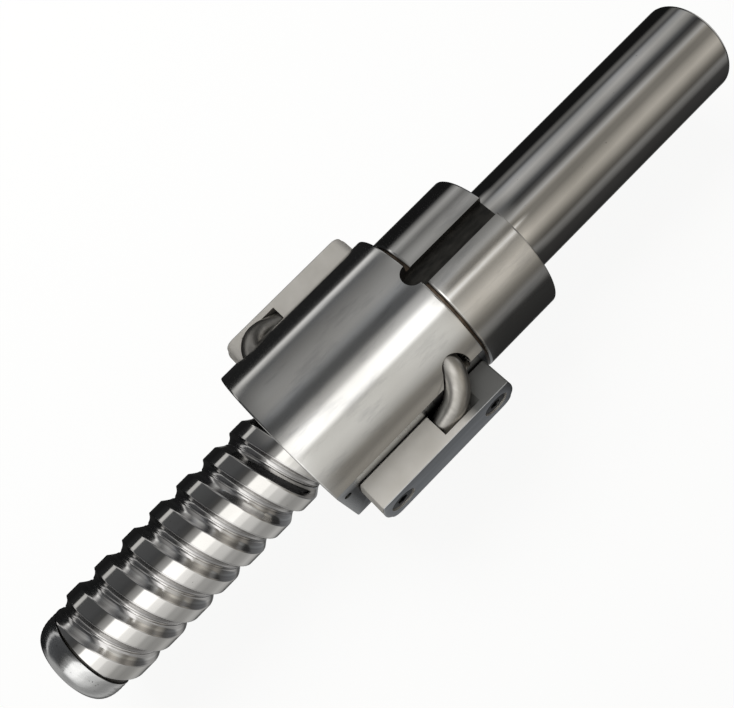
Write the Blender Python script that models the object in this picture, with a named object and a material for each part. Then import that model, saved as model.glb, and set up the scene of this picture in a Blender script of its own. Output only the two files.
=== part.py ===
# Ball screw with a keyed round nut and two outside return tubes.
# +X runs along the screw axis towards the plain shaft, the origin is on the axis in the plane of
# the nut's shoulder, the keyway is at +Z and the two return circuits are at -Y and +Y.
import math

import bmesh
import bpy
import numpy as np
from mathutils import Matrix, Vector

# Screw thread
screwDiameter = 0.029
lead = 0.020
starts = 2
ballDiameter = 0.0047625
ballCircleDiameter = 0.0304
grooveRadius = 0.0026
nutGrooveRadius = 0.0027
threadRunOut = 0.006
threadEndX = 0.006
threadEndBlend = 0.0015

# Screw ends, as distances along X
threadStartX = -0.1253
shaftEndX = 0.1087
shaftEndChamfer = 0.0007
stubDiameter = 0.0264
stubLength = 0.0080
stubNoseLength = 0.0046
stubNoseDrop = 0.0026

# Nut: the wall between the thread and the flats, the depth of the flats below the round body and
# the step from the body down to the boss
nutLength = 0.053
nutWall = 0.0057
flatDepth = 0.0029
shoulderStep = 0.0034
nutChamfer = 0.0004
shoulderChamfer = 0.0003
bossLength = 0.0272
bossChamfer = 0.0005
reliefWidth = 0.0014
reliefDepth = 0.0005
reliefRamp = 0.0003
boreClearance = 0.0006
nutThreadFade = 0.0030
nutThreadMargin = 0.0010

# Keyway in the boss
keyWidth = 0.00635
keyDepth = 0.0030
keyRunOutCentre = -0.00015

# Wipers and their set screws
wiperThickness = 0.0042
wiperSeatDepth = 0.0050
wiperWidth = 0.00385
wiperClearance = 0.0003
wiperEdge = 0.0004
setScrewDiameter = 0.0020
setScrewAngle = 73.6
setScrewRecess = 0.0005
setScrewSocket = 0.0009

# Return circuit
circuitAngle = -2.8
circuitOffset = 0.0009
turns = 1.5
tubeWall = 0.00065
tubeBallClearance = 0.00027
tubeBendRadius = 0.0100
tubeLegTilt = 4.8
tubeLegLean = 5.0
tubeEndDepth = 0.0115
tubeHoleClearance = 0.0007
tubeRestClearance = 0.0004
tubeBendRelief = 0.00035
ballPassageDepth = 0.0004
ballEntryHeight = 0.0058
ballPitch = 0.0048
ballTouch = 0.0004

# Clamp over the return tube
clampWidth = 0.0142
clampRoof = 0.00205
clampMarginLeft = 0.0054
clampMarginRight = 0.0004
clampEndBulge = 0.0010
clampCorner = 0.0018
clampEdge = 0.0004
tunnelClearance = 0.0004
clampScrewInset = 0.0063
clampScrewDiameter = 0.0040
clampHeadDiameter = 0.0070
clampHeadHeight = 0.0040
clampCounterboreDiameter = 0.0080
clampCounterboreDepth = 0.0044
clampSocketAcross = 0.0030
clampSocketDepth = 0.0022
clampScrewGrip = 0.0043
clampScrewChamfer = 0.0003

# Clearance between separate pieces, and how finely round forms are faceted
seat = 0.0002
fit = 0.00015
overcut = 0.001
roundSegments = 48
tubeSegments = 10
screwTwist = 20.0
nutTwist = 15.0

# Values that follow from the sizes above
screwRadius = screwDiameter / 2
ballRadius = ballDiameter / 2
ballCircle = ballCircleDiameter / 2
pitch = lead / starts
leadAngle = math.atan2(lead, math.pi * ballCircleDiameter)
contactAngle = math.radians(45)
screwArcCentre = ballCircle + (grooveRadius - ballRadius) * math.cos(contactAngle)
boreRadius = screwRadius + boreClearance
flatHeight = ballCircle + nutGrooveRadius + nutWall
nutRadius = flatHeight + flatDepth
bossRadius = nutRadius - shoulderStep
wiperSeatRadius = screwRadius + wiperClearance + wiperWidth + wiperClearance / 2
tubeInner = ballRadius + tubeBallClearance
tubeOuter = tubeInner + tubeWall
circuitCentreX = circuitOffset - nutLength / 2
legStartX = circuitCentreX + turns * lead / 2
threadPhase = legStartX - lead * circuitAngle / 360
legLean = math.radians(tubeLegLean)
legEntryHeight = ballCircle * math.sin(legLean)
legEntryX = legStartX + lead * tubeLegLean / 360
crossingHeight = flatHeight + tubeOuter + tubeRestClearance
tunnelCeiling = crossingHeight + tubeOuter + seat
clampHeight = tunnelCeiling + clampRoof
clampLength = nutLength - clampMarginLeft - clampMarginRight
clampCentreX = -clampMarginRight - clampLength / 2
nutThreadHigh = min(-nutThreadMargin, legStartX + lead / 2)


# Every angle about the screw axis starts at +Z and turns towards -Y, by the right-hand rule about +X.
# The pieces of a circuit are made at -Y, and placeCircuit turns them to their place.
def polar(x, radius, angle):
    return (x, -radius * math.sin(angle), radius * math.cos(angle))


def makeMaterial(name, colour, metallic, roughness):
    material = bpy.data.materials.new(name)
    material.use_nodes = True
    shader = material.node_tree.nodes["Principled BSDF"]
    shader.inputs["Base Color"].default_value = (*colour, 1.0)
    shader.inputs["Metallic"].default_value = metallic
    shader.inputs["Roughness"].default_value = roughness
    material.diffuse_color = (*colour, 1.0)
    return material


# Makes one closed object with its faces turned outwards.
def makeObject(name, vertices, faces):
    mesh = bpy.data.meshes.new(name)
    mesh.from_pydata([tuple(v) for v in vertices], [], [tuple(f) for f in faces])
    work = bmesh.new()
    work.from_mesh(mesh)
    bmesh.ops.remove_doubles(work, verts=work.verts, dist=1e-7)
    bmesh.ops.recalc_face_normals(work, faces=work.faces)
    if work.calc_volume(signed=True) < 0:
        bmesh.ops.reverse_faces(work, faces=work.faces)
    work.to_mesh(mesh)
    work.free()
    item = bpy.data.objects.new(name, mesh)
    bpy.context.scene.collection.objects.link(item)
    return item


# Gives an object its material and shades its round faces smooth, with edges over 30 degrees sharp.
def finish(item, colour, metallic, roughness):
    item.data.materials.clear()
    item.data.materials.append(makeMaterial(item.name, colour, metallic, roughness))
    item.data.shade_smooth()
    item.data.set_sharp_from_angle(angle=math.radians(30))
    return item


# Cuts the cutter out of the target and removes the cutter.
def cut(target, cutter):
    modifier = target.modifiers.new("cut", "BOOLEAN")
    modifier.operation = "DIFFERENCE"
    modifier.solver = "EXACT"
    modifier.object = cutter
    bpy.context.view_layer.update()
    graph = bpy.context.evaluated_depsgraph_get()
    result = bpy.data.meshes.new_from_object(target.evaluated_get(graph))
    old = target.data
    target.modifiers.clear()
    target.data = result
    bpy.data.meshes.remove(old)
    cutterMesh = cutter.data
    bpy.data.objects.remove(cutter)
    bpy.data.meshes.remove(cutterMesh)
    tidy = bmesh.new()
    tidy.from_mesh(target.data)
    bmesh.ops.remove_doubles(tidy, verts=tidy.verts, dist=2e-6)
    bmesh.ops.dissolve_degenerate(tidy, edges=tidy.edges, dist=2e-6)
    tidy.to_mesh(target.data)
    tidy.free()
    return target


# Joins rings of points into a closed skin. A ring may have twice the points of the one before it.
# When every strand turns by about its own spacing from one ring to the next, lean=True puts the
# diagonal along the axis, where it lies on the true cylinder.
def skin(rings, lean=False, capStart=True, capEnd=True):
    vertices = []
    offsets = []
    for ring in rings:
        offsets.append(len(vertices))
        vertices.extend(ring)
    faces = []
    for k in range(len(rings) - 1):
        n, m = len(rings[k]), len(rings[k + 1])
        a, b = offsets[k], offsets[k + 1]
        for i in range(n):
            j = (i + 1) % n
            if m == n and lean:
                faces.append((a + i, a + j, b + i))
                faces.append((a + j, b + j, b + i))
            elif m == n:
                faces.append((a + i, a + j, b + j, b + i))
            else:
                mid = 2 * i + 1
                faces.append((a + i, b + mid, b + 2 * i))
                faces.append((a + i, a + j, b + mid))
                faces.append((a + j, b + (2 * j) % m, b + mid))
    if capStart:
        faces.append(tuple(range(len(rings[0]))))
    if capEnd:
        faces.append(tuple(offsets[-1] + i for i in range(len(rings[-1]))))
    return vertices, faces


# Turns a profile of (x, radius) points about the screw axis. A closed profile gives a ring.
def lathe(name, profile, segments=roundSegments, closed=False):
    rings = []
    for x, radius in profile:
        rings.append([polar(x, radius, 2 * math.pi * i / segments) for i in range(segments)])
    if closed:
        rings.append(rings[0])
        vertices, faces = skin(rings, capStart=False, capEnd=False)
    else:
        vertices, faces = skin(rings)
    return makeObject(name, vertices, faces)


# A straight round bar from one point to another.
def bar(name, start, end, radius, segments=16):
    start, end = Vector(start), Vector(end)
    frame = (end - start).to_track_quat("Z", "Y").to_matrix()
    rings = []
    for centre in (start, end):
        ring = []
        for i in range(segments):
            angle = 2 * math.pi * i / segments
            ring.append(tuple(centre + frame @ Vector((radius * math.cos(angle), radius * math.sin(angle), 0))))
        rings.append(ring)
    vertices, faces = skin(rings)
    return makeObject(name, vertices, faces)


def box(name, low, high):
    corners = [(x, y, z) for x in (low[0], high[0]) for y in (low[1], high[1]) for z in (low[2], high[2])]
    faces = [(0, 1, 3, 2), (4, 6, 7, 5), (0, 4, 5, 1), (2, 3, 7, 6), (0, 2, 6, 4), (1, 5, 7, 3)]
    return makeObject(name, corners, faces)


# A flat outline of (x, z) points made solid between two heights along Y.
def slab(name, outline, low, high):
    rings = [[(x, low, z) for x, z in outline], [(x, high, z) for x, z in outline]]
    vertices, faces = skin(rings)
    return makeObject(name, vertices, faces)


# Turns a piece of a circuit about the screw axis: half a turn carries one circuit onto the other.
def placeCircuit(item, side):
    turn = math.radians(circuitAngle) + (math.pi if side < 0 else 0.0)
    item.data.transform(Matrix.Rotation(turn, 4, "X"))
    return item


# Where the strands of one start lie: (distance along X from the groove's middle, radius). The
# facets stand outside the true arc and the true helix, so a ball never touches them.
def screwStrands(grooveSteps=5, landSteps=4):
    edge = math.acos((screwArcCentre - screwRadius) / grooveRadius)
    arc = grooveRadius / math.cos(edge / grooveSteps)
    groove = []
    for i in range(1, grooveSteps):
        angle = -edge + 2 * edge * i / grooveSteps
        groove.append((arc * math.sin(angle) / math.cos(leadAngle), screwArcCentre - arc * math.cos(angle)))
    return withLand(groove, grooveRadius * math.sin(edge), screwRadius, landSteps)


def nutStrands(grooveSteps=7, landSteps=4):
    stretch = 1 / math.cos(math.radians(nutTwist) / 2)
    groove = []
    for i in range(1, grooveSteps):
        share = 2 * i / grooveSteps - 1
        angle = (share * math.pi / 2 + math.asin(share)) / 2
        radius = ballCircle + nutGrooveRadius * math.cos(angle)
        groove.append((nutGrooveRadius * math.sin(angle) / math.cos(leadAngle), radius * stretch))
    return withLand(groove, nutGrooveRadius, boreRadius, landSteps)


def withLand(groove, halfWidth, surface, landSteps):
    halfWidth = halfWidth / math.cos(leadAngle)
    strands = [(-halfWidth, surface)] + groove + [(halfWidth, surface)]
    land = pitch - 2 * halfWidth
    for i in range(1, landSteps):
        strands.append((halfWidth + land * i / landSteps, surface))
    return strands


# Rings of a thread: each strand follows the helix, and depth(x) between 0 and 1 fades the groove.
# limit(x) is the largest radius at x, for a stub or a chamfer. The order of the strands runs
# against X, so their angle grows round the ring.
def threadRings(positions, strands, surface, depth, limit):
    rings = []
    for x in positions:
        ring = []
        for start in range(starts):
            for along, radius in strands:
                angle = 2 * math.pi * (x - threadPhase - start * pitch - along) / lead
                faded = surface + (radius - surface) * depth(x)
                ring.append(polar(x, min(faded, limit(x)), angle))
        ring.reverse()
        rings.append(ring)
    return rings


def ringPositions(low, high, twist):
    step = lead * twist / 360
    count = max(2, round((high - low) / step))
    return [low + (high - low) * i / count for i in range(count + 1)]


def makeScrew():
    strands = screwStrands()
    stubStart = threadStartX - stubLength
    noseStart = stubStart + stubNoseLength
    stubRadius = stubDiameter / 2

    def stubLimit(x):
        if x >= noseStart:
            return stubRadius
        share = (noseStart - x) / stubNoseLength
        return stubRadius - stubNoseDrop * (1 - math.sqrt(max(0.0, 1 - (0.96 * share) ** 2)))

    def fadeOut(x):
        return min(1.0, max(0.0, (threadEndX - x) / threadRunOut))

    nose = [stubStart, stubStart + 0.12 * stubNoseLength, stubStart + 0.4 * stubNoseLength, noseStart]
    stub = nose + ringPositions(noseStart, threadStartX, screwTwist)[1:]
    rings = threadRings(stub, strands, screwRadius, lambda x: 1.0, stubLimit)
    body = ringPositions(threadStartX, threadEndX, screwTwist)
    bodyRings = threadRings(body, strands, screwRadius, fadeOut, lambda x: screwRadius)
    lastAngle = 2 * math.pi * (threadEndX - threadPhase) / lead
    count = len(bodyRings[-1])
    bodyRings[-1] = [polar(threadEndX, screwRadius, lastAngle - 2 * math.pi * (i + 2) / count) for i in range(count)]
    bodyRings[-1].reverse()
    bodyRings[-1] = matchRing(bodyRings[-2], bodyRings[-1], lead * screwTwist / 360)
    shaft = []
    angles = [math.atan2(-p[1], p[2]) for p in bodyRings[-1]]
    sign = -1 if ((angles[1] - angles[0]) % (2 * math.pi)) > math.pi else 1
    fine = []
    for a in angles:
        fine.append(a)
        fine.append(a + sign * math.pi / count)
    for x, radius in ((threadEndX + threadEndBlend, screwRadius), (shaftEndX - shaftEndChamfer, screwRadius),
                      (shaftEndX, screwRadius - shaftEndChamfer)):
        shaft.append([polar(x, radius, a) for a in fine])
    vertices, faces = skin(rings + bodyRings, lean=True, capEnd=False)
    base = len(vertices) - count
    tailVertices, tailFaces = skin([bodyRings[-1]] + shaft, capStart=False)
    vertices = vertices + tailVertices[count:]
    faces = faces + [tuple(base + i for i in face) for face in tailFaces]
    item = makeObject("screw_shaft", vertices, faces)
    return finish(item, (0.62, 0.61, 0.59), 1.0, 0.22)


# Shifts a ring's order so that each point lies nearest the point it joins on the ring before it.
def matchRing(before, ring, step):
    turn = 2 * math.pi * step / lead
    target = math.atan2(-before[0][1], before[0][2]) + turn
    angles = [math.atan2(-p[1], p[2]) for p in ring]
    gaps = [abs((a - target + math.pi) % (2 * math.pi) - math.pi) for a in angles]
    first = gaps.index(min(gaps))
    return ring[first:] + ring[:first]


# A point of the first leg's middle line at a height above the screw axis. The line touches the ball
# circle at the entry, leans towards the other leg and tilts along X.
def legPoint(height):
    x = legEntryX + (height - legEntryHeight) * math.tan(math.radians(tubeLegTilt))
    return Vector((x, -height, ballCircle / math.cos(legLean) - height * math.tan(legLean)))


# The same point on the circuit's other leg, half a turn about the circuit's own middle.
def otherLeg(point):
    return Vector((2 * circuitCentreX - point.x, point.y, -point.z))


# The path of a return tube's middle line from one leg's lower end to the other's: leg, bend,
# crossing, bend, leg. startHeight is how far the lower ends stand from the screw axis.
def tubePath(startHeight, bendSteps=5):
    start = legPoint(startHeight)
    corner = legPoint(crossingHeight)
    other = otherLeg(corner)
    up = (corner - start).normalized()
    across = (other - corner).normalized()
    half = up.angle(across) / 2
    setBack = tubeBendRadius * math.tan(half)
    centre = corner + (across - up).normalized() * (tubeBendRadius / math.cos(half))
    first = corner - up * setBack
    hinge = up.cross(across).normalized()
    points = [start]
    for i in range(bendSteps + 1):
        turned = Matrix.Rotation(2 * half * i / bendSteps, 3, hinge)
        points.append(centre + turned @ (first - centre))
    return points + [otherLeg(p) for p in reversed(points)]


# Rings of points square to a path, turned as little as possible from one to the next.
def pathRings(points, radius, count):
    rings = []
    side = None
    for i, point in enumerate(points):
        before = points[i] - points[i - 1] if i > 0 else points[1] - points[0]
        after = points[i + 1] - points[i] if i < len(points) - 1 else before
        tangent = (before.normalized() + after.normalized()).normalized()
        side = Vector((0, 0, 1)) if side is None else side
        side = (side - tangent * side.dot(tangent)).normalized()
        other = tangent.cross(side)
        rings.append([tuple(point + radius * (side * math.cos(2 * math.pi * k / count)
                                              + other * math.sin(2 * math.pi * k / count)))
                      for k in range(count)])
    return rings


def makeTube(side, name):
    points = tubePath(flatHeight - tubeEndDepth)
    outer = pathRings(points, tubeOuter, tubeSegments)
    inner = pathRings(points, tubeInner / math.cos(math.pi / tubeSegments), tubeSegments)
    rings = outer + inner[::-1] + [outer[0]]
    vertices, faces = skin(rings, capStart=False, capEnd=False)
    item = placeCircuit(makeObject(name, vertices, faces), side)
    return finish(item, (0.66, 0.65, 0.63), 1.0, 0.32)


# The balls of one stretch of the circuit, which touch in a row and are joined where they touch.
# at(s) gives the point at the length s along their middle line.
def ballRow(at, count, name, side):
    row = []
    for i in range(count):
        middle = i * ballPitch
        if i == 0:
            row.append((middle - 0.97 * ballRadius, 0.24 * ballRadius))
        row.append((middle - 0.75 * ballRadius, 0.66 * ballRadius))
        row.append((middle, ballRadius))
        row.append((middle + 0.75 * ballRadius, 0.66 * ballRadius))
        if i < count - 1:
            row.append((middle + ballPitch / 2, ballTouch))
        else:
            row.append((middle + 0.97 * ballRadius, 0.24 * ballRadius))
    points = [at(s) for s, radius in row]
    frames = pathRings(points, 1.0, 5)
    rings = []
    for point, ring, (s, radius) in zip(points, frames, row):
        rings.append([tuple(point + (Vector(p) - point) * radius) for p in ring])
    item = placeCircuit(makeObject(name, *skin(rings)), side)
    return finish(item, (0.72, 0.72, 0.72), 1.0, 0.08)


# The balls that carry the load lie along the helix, from where one leg touches it to the other.
def makeLoadedBalls(side, name):
    turnLength = math.hypot(2 * math.pi * ballCircle, lead)
    span = (turns + legLean / math.pi) * turnLength
    count = int(span / ballPitch) - 1
    first = (span - (count - 1) * ballPitch) / 2

    def at(s):
        angle = legLean - 2 * math.pi * (first + s) / turnLength
        return Vector(polar(legStartX + lead * angle / (2 * math.pi), ballCircle, angle))

    return ballRow(at, count, name, side)


# The balls on their way back lie along the tube's middle line.
def makeReturnBalls(side, name):
    points = tubePath(ballEntryHeight, 8)
    lengths = [0.0]
    for a, b in zip(points, points[1:]):
        lengths.append(lengths[-1] + (b - a).length)
    coordinates = np.array([tuple(p) for p in points])
    count = int((lengths[-1] - ballDiameter) / ballPitch) + 1
    first = (lengths[-1] - (count - 1) * ballPitch) / 2

    def at(s):
        return Vector([float(np.interp(first + s, lengths, coordinates[:, k])) for k in range(3)])

    return ballRow(at, count, name, side)


def makeNut():
    left = -nutLength
    profile = [(left, nutRadius - nutChamfer), (left + nutChamfer, nutRadius),
               (-shoulderChamfer, nutRadius), (0, nutRadius - shoulderChamfer),
               (0, bossRadius - reliefDepth), (reliefWidth, bossRadius - reliefDepth),
               (reliefWidth + reliefRamp, bossRadius), (bossLength - bossChamfer, bossRadius),
               (bossLength, bossRadius - bossChamfer)]
    nut = lathe("nut_body", profile)

    strands = nutStrands()
    low = left + wiperSeatDepth - overcut

    def fade(x):
        return min(1.0, max(0.0, (nutThreadHigh - nutThreadMargin - x) / nutThreadFade))

    rings = threadRings(ringPositions(low, nutThreadHigh, nutTwist), strands, boreRadius, fade, lambda x: nutRadius)
    count = len(rings[0])
    tail = [[(bossLength - wiperSeatDepth + overcut, p[1], p[2]) for p in rings[-1]]]
    vertices, faces = skin(rings, lean=True, capEnd=False)
    base = len(vertices) - count
    tailVertices, tailFaces = skin([rings[-1]] + tail, capStart=False)
    vertices = vertices + tailVertices[count:]
    faces = faces + [tuple(base + i for i in face) for face in tailFaces]
    cut(nut, makeObject("cutBore", vertices, faces))

    for low, high in ((left - overcut, left + wiperSeatDepth), (bossLength - wiperSeatDepth, bossLength + overcut)):
        cut(nut, lathe("cutSeat", [(low, wiperSeatRadius), (high, wiperSeatRadius)], 32))

    # The keyway, milled from the boss end and ending in a half round notch in the shoulder.
    outline = [(bossLength + overcut, -keyWidth / 2), (bossLength + overcut, keyWidth / 2)]
    for i in range(13):
        angle = math.pi / 2 + math.pi * i / 12
        outline.append((keyRunOutCentre + keyWidth / 2 * math.cos(angle), keyWidth / 2 * math.sin(angle)))
    floor = bossRadius - keyDepth
    rings = [[(x, y, floor) for x, y in outline], [(x, y, nutRadius + overcut) for x, y in outline]]
    cut(nut, makeObject("cutKeyway", *skin(rings)))

    holeRadius = tubeOuter + tubeHoleClearance
    holeFloor = flatHeight - tubeEndDepth - seat
    for side in (1, -1):
        low = (left - overcut, -nutRadius - overcut, -nutRadius)
        flat = box("cutFlat", low, (reliefWidth / 2, -flatHeight, nutRadius))
        cut(nut, placeCircuit(flat, side))
        ballEntry = legPoint(legEntryHeight - ballPassageDepth)
        ballExit = legPoint(holeFloor + overcut)
        legFloor = legPoint(holeFloor)
        legTop = legPoint(nutRadius + overcut)
        for place in (Vector, otherLeg):
            cut(nut, placeCircuit(bar("cutLegHole", place(legFloor), place(legTop), holeRadius), side))
            cut(nut, placeCircuit(bar("cutPassage", place(ballEntry), place(ballExit), tubeInner, 10), side))
        points = tubePath(flatHeight - tubeEndDepth)
        half = len(points) // 2
        for points in (points[:half], points[half:]):
            relief = makeObject("cutBend", *skin(pathRings(points, tubeOuter + tubeBendRelief, 12)))
            cut(nut, placeCircuit(relief, side))
        for x in clampScrewPositions():
            top = Vector((x, -flatHeight - overcut, 0))
            bottom = Vector((x, -flatHeight + clampScrewGrip + seat, 0))
            cut(nut, placeCircuit(bar("cutTapped", bottom, top, clampScrewDiameter / 2 + fit, 12), side))
        inner, outer = setScrewLine()
        hole = bar("cutSetHole", inner, outer + (outer - inner), setScrewDiameter / 2 + fit, 12)
        cut(nut, placeCircuit(hole, side))
    return finish(nut, (0.56, 0.555, 0.545), 1.0, 0.30)


def clampScrewPositions():
    reach = clampLength / 2 - clampScrewInset
    return (clampCentreX - reach, clampCentreX + reach)


# The inner end of the wiper's set screw and the point where its hole meets the flat.
def setScrewLine():
    angle = math.radians(setScrewAngle)
    x = -nutLength + wiperSeatDepth / 2
    inner = Vector(polar(x, wiperSeatRadius - wiperClearance / 2, angle))
    outer = Vector(polar(x, flatHeight / math.sin(angle), angle))
    return inner, outer


def makeSetScrew(side, name):
    inner, outer = setScrewLine()
    along = (outer - inner).normalized()
    start = inner + along * seat
    end = outer - along * (setScrewRecess + setScrewDiameter / 2 * abs(math.cos(math.radians(setScrewAngle))))
    item = bar(name, start, end, setScrewDiameter / 2, 12)
    socket = bar("cutSocket", end - along * setScrewSocket, end + along * overcut, setScrewDiameter * 0.29, 6)
    cut(item, socket)
    return finish(placeCircuit(item, side), (0.10, 0.10, 0.11), 1.0, 0.35)


# Half of the clamp's outline seen from outside, as (x, z) from its middle: a bowed end between two
# rounded corners.
def clampEndOutline():
    reach = clampLength / 2 - clampEndBulge
    width = clampWidth / 2
    points = []
    for turn in (-1, 1):
        arc = []
        for i in range(4):
            angle = math.pi / 6 * i
            arc.append((reach - clampCorner * (1 - math.sin(angle)),
                        turn * (width - clampCorner * (1 - math.cos(angle)))))
        points.extend(arc if turn < 0 else arc[::-1])
        if turn < 0:
            for share in (-0.5, 0.0, 0.5):
                points.append((reach + clampEndBulge * (1 - share * share), share * (width - clampCorner)))
    return points


def makeClamp(side, name):
    long = clampLength / 2
    width = clampWidth / 2
    outline = [(clampCentreX + x, z) for x, z in clampEndOutline()]
    outline += [(clampCentreX - x, -z) for x, z in clampEndOutline()]

    def inset(points, by):
        return [(clampCentreX + (x - clampCentreX) * (1 - by / long), z * (1 - by / width)) for x, z in points]

    base = -(flatHeight + seat / 2)
    levels = [(outline, base), (outline, -clampHeight + clampEdge), (inset(outline, clampEdge), -clampHeight)]
    rings = [[(x, y, z) for x, z in points] for points, y in levels]
    clamp = makeObject(name, *skin(rings))

    # The slanted tunnel that the tube passes through, open below.
    points = tubePath(flatHeight - tubeEndDepth)
    half = len(points) // 2
    a, b = points[half - 1], points[half]
    slope = (a.x - b.x) / (a.z - b.z)
    reach = (tubeOuter + tunnelClearance) * math.sqrt(1 + slope * slope)
    far = width + overcut
    outline = [(circuitCentreX + slope * far + reach, far), (circuitCentreX + slope * far - reach, far),
               (circuitCentreX - slope * far - reach, -far), (circuitCentreX - slope * far + reach, -far)]
    cut(clamp, slab("cutTunnel", outline, -tunnelCeiling, -flatHeight + overcut))

    for x in clampScrewPositions():
        top = Vector((x, -clampHeight - overcut, 0))
        seatPoint = Vector((x, -clampHeight + clampCounterboreDepth, 0))
        bottom = Vector((x, -flatHeight + overcut, 0))
        cut(clamp, bar("cutHead", seatPoint, top, clampCounterboreDiameter / 2, 20))
        cut(clamp, bar("cutShank", bottom, seatPoint - Vector((0, overcut / 2, 0)),
                           clampScrewDiameter / 2 + 2 * fit, 12))
    return finish(placeCircuit(clamp, side), (0.46, 0.455, 0.44), 1.0, 0.45)


def makeClampScrew(side, x, name):
    under = -clampHeight + clampCounterboreDepth - seat / 2
    top = under - clampHeadHeight
    end = -flatHeight + clampScrewGrip
    radius = clampHeadDiameter / 2
    shank = clampScrewDiameter / 2
    profile = [(end, shank - clampScrewChamfer), (end - clampScrewChamfer, shank), (under, shank),
               (under, radius), (top + clampScrewChamfer, radius), (top, radius - clampScrewChamfer)]
    rings = []
    for y, size in profile:
        rings.append([(x + size * math.cos(2 * math.pi * i / 16), y, size * math.sin(2 * math.pi * i / 16))
                      for i in range(16)])
    item = makeObject(name, *skin(rings))
    across = clampSocketAcross / 2 / math.cos(math.pi / 6)
    cut(item, bar("cutHex", (x, top + clampSocketDepth, 0), (x, top - overcut, 0), across, 6))
    return finish(placeCircuit(item, side), (0.08, 0.08, 0.085), 1.0, 0.38)


def makeWiper(low, name):
    inner = screwRadius + wiperClearance
    outer = wiperSeatRadius - wiperClearance / 2
    high = low + wiperThickness
    profile = [(low, inner + wiperEdge), (low, outer), (high, outer), (high, inner + wiperEdge),
               (high - wiperEdge, inner), (low + wiperEdge, inner)]
    return finish(lathe(name, profile, 32, closed=True), (0.045, 0.045, 0.05), 0.0, 0.6)


def build():
    makeScrew()
    makeNut()
    margin = (wiperSeatDepth - wiperThickness) / 2
    makeWiper(-nutLength + margin, "wiper_thread_end")
    makeWiper(bossLength - wiperSeatDepth + margin, "wiper_boss_end")
    for side, word in ((1, "front"), (-1, "rear")):
        makeTube(side, "return_tube_" + word)
        makeClamp(side, "tube_clamp_" + word)
        for x, place in zip(clampScrewPositions(), ("left", "right")):
            makeClampScrew(side, x, "clamp_screw_" + word + "_" + place)
        makeSetScrew(side, "wiper_set_screw_" + word)
        makeLoadedBalls(side, "loaded_balls_" + word)
        makeReturnBalls(side, "return_balls_" + word)


for thing in list(bpy.data.objects):
    bpy.data.objects.remove(thing)
build()
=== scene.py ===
# The looks of a two-start ball screw with a keyed round nut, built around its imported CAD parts.
import math

import bmesh
import bpy
import numpy as np
from mathutils import Matrix, Vector


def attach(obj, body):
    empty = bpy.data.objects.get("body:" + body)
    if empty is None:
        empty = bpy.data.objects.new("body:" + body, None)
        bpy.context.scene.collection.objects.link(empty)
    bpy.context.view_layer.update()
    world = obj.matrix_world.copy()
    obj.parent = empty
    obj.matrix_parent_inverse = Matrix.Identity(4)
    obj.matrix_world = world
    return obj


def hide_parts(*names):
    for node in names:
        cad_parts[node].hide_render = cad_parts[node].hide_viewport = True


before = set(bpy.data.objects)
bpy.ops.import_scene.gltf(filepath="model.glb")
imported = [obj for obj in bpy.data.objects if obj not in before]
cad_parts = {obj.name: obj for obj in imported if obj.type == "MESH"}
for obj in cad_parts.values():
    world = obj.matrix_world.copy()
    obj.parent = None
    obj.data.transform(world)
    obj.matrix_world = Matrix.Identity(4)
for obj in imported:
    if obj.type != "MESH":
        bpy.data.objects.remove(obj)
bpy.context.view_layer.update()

# Sizes in metres that several pieces share, as the CAD has them
thread = {
    "radius": 0.0145, "lead": 0.020, "pitch": 0.010, "phase": -0.010444, "ballCircle": 0.0152,
    "ballRadius": 0.00238125, "endX": 0.006, "runOut": 0.006,
}
circuit = {
    "turn": math.radians(-2.8), "centreX": -0.0256, "entryX": -0.010322, "entryHeight": 0.001325,
    "legTilt": math.radians(4.8), "legLean": math.radians(5), "flat": 0.0236, "crossing": 0.02730125,
    "outer": 0.00330125, "inner": 0.00265125, "bend": 0.010, "legEnd": 0.0121,
}
leadAngle = math.atan2(thread["lead"], 2 * math.pi * thread["ballCircle"])
sides = ((1, "front"), (-1, "rear"))
weldGap = 1e-7  # points closer than this are one
carveGap = 1.5e-6  # the same, after a boolean
overcut = 0.001  # how far a cutter runs past what it cuts


# Turns an sRGB hex colour into linear RGBA, by the sRGB curve.
def linear(hexColour):
    channels = np.array([int(hexColour[i:i + 2], 16) for i in (1, 3, 5)]) / 255
    curve = np.where(channels <= 0.04045, channels / 12.92, ((channels + 0.055) / 1.055) ** 2.4)
    return (*curve.tolist(), 1.0)


# Adds a node and returns its output. Each input is given a value, or the socket to link to it.
def addNode(tree, kind, inputs=None, output=0, **settings):
    node = tree.nodes.new("ShaderNode" + kind)
    for key, value in settings.items():
        setattr(node, key, value)
    for key, value in (inputs or {}).items():
        if isinstance(value, bpy.types.NodeSocket):
            tree.links.new(value, node.inputs[key])
        else:
            node.inputs[key].default_value = value
    return node.outputs[output] if node.outputs else None


# Points on a circle about the screw axis: (x, -r sin a, r cos a), with a from +Z towards -Y.
def polarPoints(x, radius, angle):
    x, radius, angle = np.broadcast_arrays(x, radius, angle)
    return np.stack([x, -radius * np.sin(angle), radius * np.cos(angle)], -1)


# Quads between neighbouring rows and columns of a grid of points. Columns wrap round, rows where asked.
def gridFaces(rows, columns, closeRows=False):
    r = np.arange(rows if closeRows else rows - 1)[:, None]
    c = np.arange(columns)[None, :]
    r2, c2 = (r + 1) % rows, (c + 1) % columns
    corners = (r * columns + c, r * columns + c2, r2 * columns + c2, r2 * columns + c)
    return np.stack(np.broadcast_arrays(*corners), -1).reshape(-1, 4)


# Merges points closer than a distance, and drops the edges and faces that this leaves without size.
def weld(work, distance):
    bmesh.ops.remove_doubles(work, verts=work.verts, dist=distance)
    bmesh.ops.dissolve_degenerate(work, edges=work.edges, dist=distance)


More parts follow.
